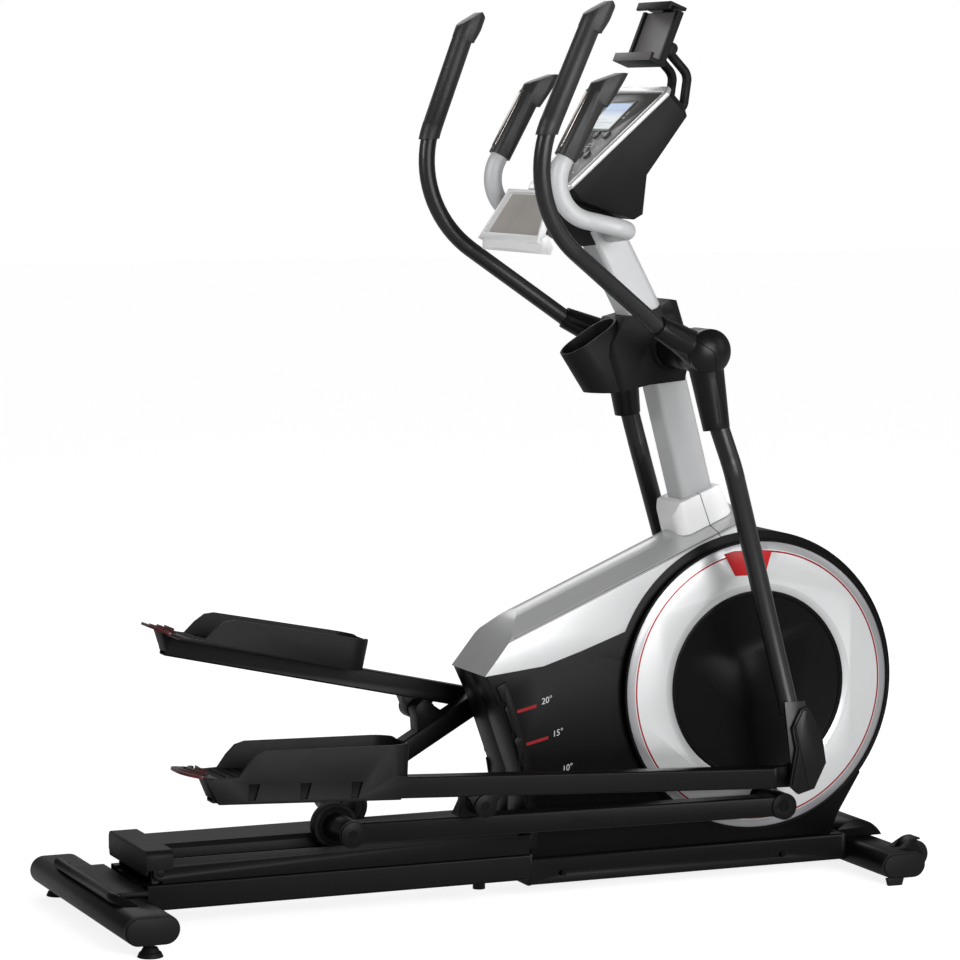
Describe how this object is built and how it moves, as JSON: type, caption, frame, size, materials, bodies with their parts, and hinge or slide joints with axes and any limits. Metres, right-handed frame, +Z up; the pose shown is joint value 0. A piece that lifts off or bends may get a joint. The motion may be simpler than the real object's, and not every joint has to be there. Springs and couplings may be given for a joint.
{
  "type": "elliptical trainer",
  "caption": "Elliptical trainer with a front crank in a round shroud, two rollers on a sloping ramp, pedal arms, swing arms with foam grips and a console on an upright.",
  "frame": {"origin": "middle of the footprint on the floor", "axes": "+X is the front, away from the user, +Y is the left side of the user, +Z is up"},
  "size_m": [1.688, 0.63, 1.7188],
  "materials": {
    "black_steel": "satin",
    "silver_paint": "satin",
    "black_plastic": "matte",
    "charcoal_plastic": "matte",
    "silver_plastic": "satin",
    "bright_steel": "satin",
    "wheel_rubber": "matte",
    "foam": "matte",
    "cast": "satin",
    "sensor_chrome": "polished",
    "key_plastic": "satin",
    "belt_rubber": "matte"
  },
  "bodies": {
    "frame": {"base_frame": "black_steel", "front_frame": "black_steel", "rear_stabilizer": "black_steel", "stabilizer_caps": "charcoal_plastic", "rear_cover_plate": "charcoal_plastic", "front_stabilizer": "black_steel", "front_joint_cover": "black_plastic", "shroud_right": "black_plastic", "shroud_left": "black_plastic", "shroud_top_cover": "silver_plastic", "upright_collar": "silver_plastic", "upright": "silver_paint", "pivot_axle": "black_steel", "bottle_holder": "charcoal_plastic", "pulse_bar": "silver_paint", "pulse_grips": "foam", "pulse_sensors": "sensor_chrome", "console_housing": "charcoal_plastic", "console_bezel": "silver_plastic", "console_panel": "charcoal_plastic", "console_tray": "silver_plastic", "tablet_arm": "charcoal_plastic", "incline_rack": "bright_steel", "resistance_motor": "charcoal_plastic", "drive_belt": "belt_rubber", "power_inlet": "charcoal_plastic"},
    "crank": {"crankset": "bright_steel", "crank_discs": "black_plastic", "disc_rings": "silver_plastic"},
    "flywheel_body": {"flywheel": "cast"},
    "idler_body": {"idler_pulley": "wheel_rubber"},
    "brake_body": {"brake_magnets": "bright_steel"},
    "ramp_body": {"ramp": "black_steel", "ramp_cover": "charcoal_plastic"},
    "right_carriage": {"right_roller_axle": "bright_steel"},
    "right_wheel": {"right_roller_wheel": "wheel_rubber"},
    "right_arm": {"right_roller_arm": "black_steel"},
    "right_pedal_body": {"right_pedal_arm": "black_steel", "right_pedal": "charcoal_plastic"},
    "right_swing": {"right_swing_arm": "black_steel", "right_swing_grip": "foam", "right_swing_covers": "black_plastic"},
    "right_transport": {"right_transport_wheel": "wheel_rubber"},
    "right_foot": {"right_levelling_foot": "wheel_rubber"},
    "left_carriage": {"left_roller_axle": "bright_steel"},
    "left_wheel": {"left_roller_wheel": "wheel_rubber"},
    "left_arm": {"left_roller_arm": "black_steel"},
    "left_pedal_body": {"left_pedal_arm": "black_steel", "left_pedal": "charcoal_plastic"},
    "left_swing": {"left_swing_arm": "black_steel", "left_swing_grip": "foam", "left_swing_covers": "black_plastic"},
    "left_transport": {"left_transport_wheel": "wheel_rubber"},
    "left_foot": {"left_levelling_foot": "wheel_rubber"},
    "tablet_plate_body": {"tablet_plate": "charcoal_plastic"},
    "tablet_clamp_body": {"tablet_clamp": "charcoal_plastic"},
    "start_key_body": {"start_key": "key_plastic"},
    "stop_key_body": {"stop_key": "key_plastic"},
    "level_up_key_body": {"level_up_key": "key_plastic"},
    "level_down_key_body": {"level_down_key": "key_plastic"}
  },
  "joints": [
    {"name": "crank_spin", "type": "hinge", "parent": "frame", "child": "crank", "pos_m": [0.516, 0, 0.39], "axis": [0, 1, 0], "continuous": true},
    {"name": "flywheel_spin", "type": "hinge", "parent": "frame", "child": "flywheel_body", "pos_m": [0.215, 0, 0.3], "axis": [0, 1, 0], "continuous": true},
    {"name": "idler_spin", "type": "hinge", "parent": "frame", "child": "idler_body", "pos_m": [0.3581, 0.052, 0.23495], "axis": [0, 1, 0], "continuous": true},
    {"name": "brake_lift", "type": "hinge", "parent": "frame", "child": "brake_body", "pos_m": [0.31335, 0, 0.4172], "axis": [0, 1, 0], "range_deg": [0, 6]},
    {"name": "ramp_incline", "type": "hinge", "parent": "frame", "child": "ramp_body", "pos_m": [-0.715, 0, 0.112], "axis": [0, -1, 0], "range_deg": [0, 19]},
    {"name": "right_stride", "type": "slide", "parent": "ramp_body", "child": "right_carriage", "axis": [1, 0, 0], "range_m": [-0.22, 0.23]},
    {"name": "left_stride", "type": "slide", "parent": "ramp_body", "child": "left_carriage", "axis": [1, 0, 0], "range_m": [-0.23, 0.22]},
    {"name": "right_wheel_spin", "type": "hinge", "parent": "right_carriage", "child": "right_wheel", "pos_m": [-0.36701, -0.091, 0.1733], "axis": [0, 1, 0], "continuous": true},
    {"name": "right_arm_tilt", "type": "hinge", "parent": "right_carriage", "child": "right_arm", "pos_m": [-0.36701, -0.15, 0.1733], "axis": [0, -1, 0], "range_deg": [-24.25, 0.5]},
    {"name": "right_pedal_tilt", "type": "hinge", "parent": "right_arm", "child": "right_pedal_body", "pos_m": [-0.11798, -0.215, 0.21628], "axis": [0, -1, 0], "range_deg": [-5.2, 5.3]},
    {"name": "right_swing", "type": "hinge", "parent": "frame", "child": "right_swing", "pos_m": [0.348, -0.194, 1.054], "axis": [0, -1, 0], "range_deg": [-15.6, 16.3]},
    {"name": "right_transport_spin", "type": "hinge", "parent": "frame", "child": "right_transport", "pos_m": [0.816, -0.19, 0.048], "axis": [0, 1, 0], "continuous": true},
    {"name": "right_foot_turn", "type": "hinge", "parent": "frame", "child": "right_foot", "pos_m": [-0.792, -0.291, 0], "axis": [0, 0, 1], "continuous": true},
    {"name": "left_wheel_spin", "type": "hinge", "parent": "left_carriage", "child": "left_wheel", "pos_m": [-0.27717, 0.091, 0.1733], "axis": [0, 1, 0], "continuous": true},
    {"name": "left_arm_tilt", "type": "hinge", "parent": "left_carriage", "child": "left_arm", "pos_m": [-0.27717, 0.15, 0.1733], "axis": [0, -1, 0], "range_deg": [-24.25, 0.5]},
    {"name": "left_pedal_tilt", "type": "hinge", "parent": "left_arm", "child": "left_pedal_body", "pos_m": [-0.08407, 0.215, 0.33634], "axis": [0, -1, 0], "range_deg": [-5.3, 5.2]},
    {"name": "left_swing", "type": "hinge", "parent": "frame", "child": "left_swing", "pos_m": [0.348, 0.194, 1.054], "axis": [0, -1, 0], "range_deg": [-16.3, 15.6]},
    {"name": "left_transport_spin", "type": "hinge", "parent": "frame", "child": "left_transport", "pos_m": [0.816, 0.19, 0.048], "axis": [0, 1, 0], "continuous": true},
    {"name": "left_foot_turn", "type": "hinge", "parent": "frame", "child": "left_foot", "pos_m": [-0.792, 0.291, 0], "axis": [0, 0, 1], "continuous": true},
    {"name": "tablet_tilt", "type": "hinge", "parent": "frame", "child": "tablet_plate_body", "pos_m": [0.343, 0, 1.628], "axis": [0, 1, 0], "range_deg": [-8, 20]},
    {"name": "tablet_clamp_lift", "type": "slide", "parent": "tablet_plate_body", "child": "tablet_clamp_body", "axis": [0.3746, 0, 0.9272], "range_m": [0, 0.03], "stiffness_N_per_m": 150, "springref_m": -0.01},
    {"name": "start_key_press", "type": "slide", "parent": "frame", "child": "start_key_body", "axis": [0.6877, 0, -0.726], "range_m": [0, 0.0012], "stiffness_N_per_m": 500, "springref_m": -0.001},
    {"name": "stop_key_press", "type": "slide", "parent": "frame", "child": "stop_key_body", "axis": [0.6877, 0, -0.726], "range_m": [0, 0.0012], "stiffness_N_per_m": 500, "springref_m": -0.001},
    {"name": "level_up_key_press", "type": "slide", "parent": "frame", "child": "level_up_key_body", "axis": [0.6877, 0, -0.726], "range_m": [0, 0.0012], "stiffness_N_per_m": 500, "springref_m": -0.001},
    {"name": "level_down_key_press", "type": "slide", "parent": "frame", "child": "level_down_key_body", "axis": [0.6877, 0, -0.726], "range_m": [0, 0.0012], "stiffness_N_per_m": 500, "springref_m": -0.001}
  ],
  "couplings": [
    {"joint": "flywheel_spin", "follows": "crank_spin", "ratio": 4.6667},
    {"joint": "idler_spin", "follows": "crank_spin", "ratio": -6.5},
    {"joint": "left_stride", "follows": "right_stride", "ratio": -1},
    {"joint": "right_wheel_spin", "follows": "right_stride", "rad_per_m": 23.256},
    {"joint": "right_arm_tilt", "follows": "ramp_incline", "ratio": -1.25},
    {"joint": "right_pedal_tilt", "follows": "right_stride", "rad_per_m": 0.388},
    {"joint": "right_swing", "follows": "right_stride", "rad_per_m": 1.22},
    {"joint": "left_wheel_spin", "follows": "right_stride", "rad_per_m": -23.256},
    {"joint": "left_arm_tilt", "follows": "ramp_incline", "ratio": -1.25},
    {"joint": "left_pedal_tilt", "follows": "right_stride", "rad_per_m": -0.388},
    {"joint": "left_swing", "follows": "right_stride", "rad_per_m": -1.22}
  ]
}
